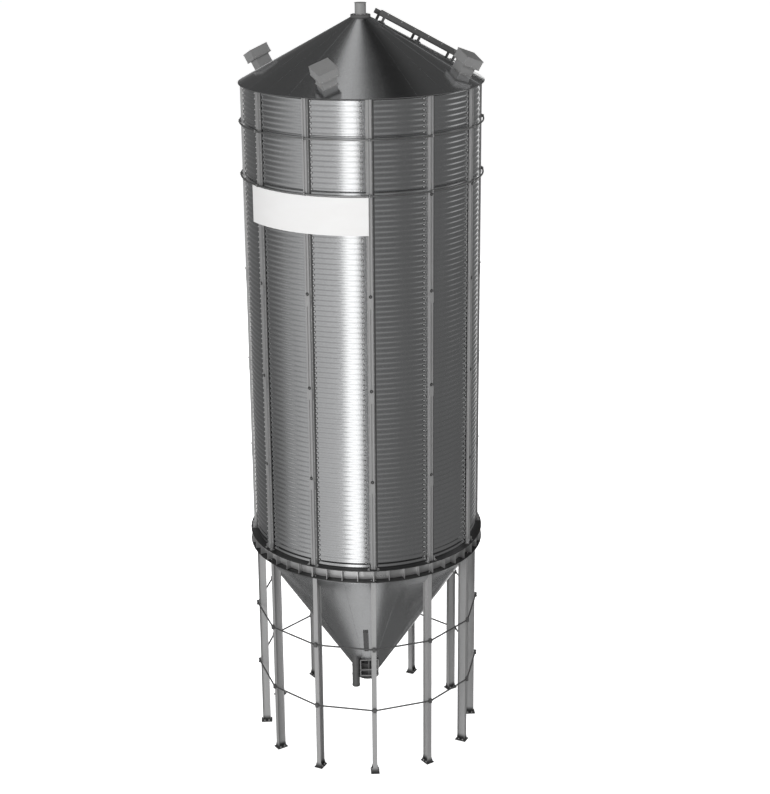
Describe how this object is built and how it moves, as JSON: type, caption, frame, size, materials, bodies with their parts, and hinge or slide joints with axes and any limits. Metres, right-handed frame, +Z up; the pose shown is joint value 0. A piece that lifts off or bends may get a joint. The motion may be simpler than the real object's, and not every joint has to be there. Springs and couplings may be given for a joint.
{
  "type": "grain silo",
  "caption": "Round corrugated steel grain bin with a conical roof and a conical hopper, raised on I-section legs, with roof vents, wall stiffeners and a plain curved sign sheet.",
  "frame": {"origin": "on the ground, on the bin's upright axis", "axes": "+Z up along the bin's axis, -Y towards the front leg, +X to the right seen from the front"},
  "size_m": [4.72, 4.72, 15.03],
  "materials": {
    "wall_sheet": "corrugated galvanised sheet, satin",
    "roof_sheet": "galvanised sheet, satin, slightly darker",
    "hopper_sheet": "smooth galvanised sheet, bright",
    "frame_steel": "hot-dip galvanised sections, dull",
    "window_plate": "dark clear plate in a steel frame",
    "sign_white": "white painted sheet, bare"
  },
  "bodies": {
    "root": {"leg_01": "frame_steel", "leg_02": "frame_steel", "leg_03": "frame_steel", "leg_04": "frame_steel", "leg_05": "frame_steel", "leg_06": "frame_steel", "leg_07": "frame_steel", "leg_08": "frame_steel", "leg_09": "frame_steel", "leg_10": "frame_steel", "leg_11": "frame_steel", "leg_12": "frame_steel", "ring_girder": "frame_steel", "wall_course_1": "wall_sheet", "wall_course_2": "wall_sheet", "wall_course_3": "wall_sheet", "wall_course_4": "wall_sheet", "stiffener_01": "frame_steel", "stiffener_02": "frame_steel", "stiffener_03": "frame_steel", "stiffener_04": "frame_steel", "stiffener_05": "frame_steel", "stiffener_06": "frame_steel", "stiffener_07": "frame_steel", "stiffener_08": "frame_steel", "stiffener_09": "frame_steel", "stiffener_10": "frame_steel", "stiffener_11": "frame_steel", "stiffener_12": "frame_steel", "wind_ring_1": "frame_steel", "wind_ring_2": "frame_steel", "tie_ring_1": "frame_steel", "tie_ring_2": "frame_steel", "roof_cone": "roof_sheet", "roof_inlet": "roof_sheet", "roof_vent_1": "roof_sheet", "roof_vent_2": "roof_sheet", "roof_vent_3": "roof_sheet", "roof_vent_4": "roof_sheet", "roof_ladder": "frame_steel", "hopper_cone": "hopper_sheet", "outlet_spigot": "hopper_sheet", "outlet_box": "frame_steel", "draw_off_tube": "hopper_sheet", "sight_window": "window_plate", "sign_panel": "sign_white"}
  },
  "joints": []
}
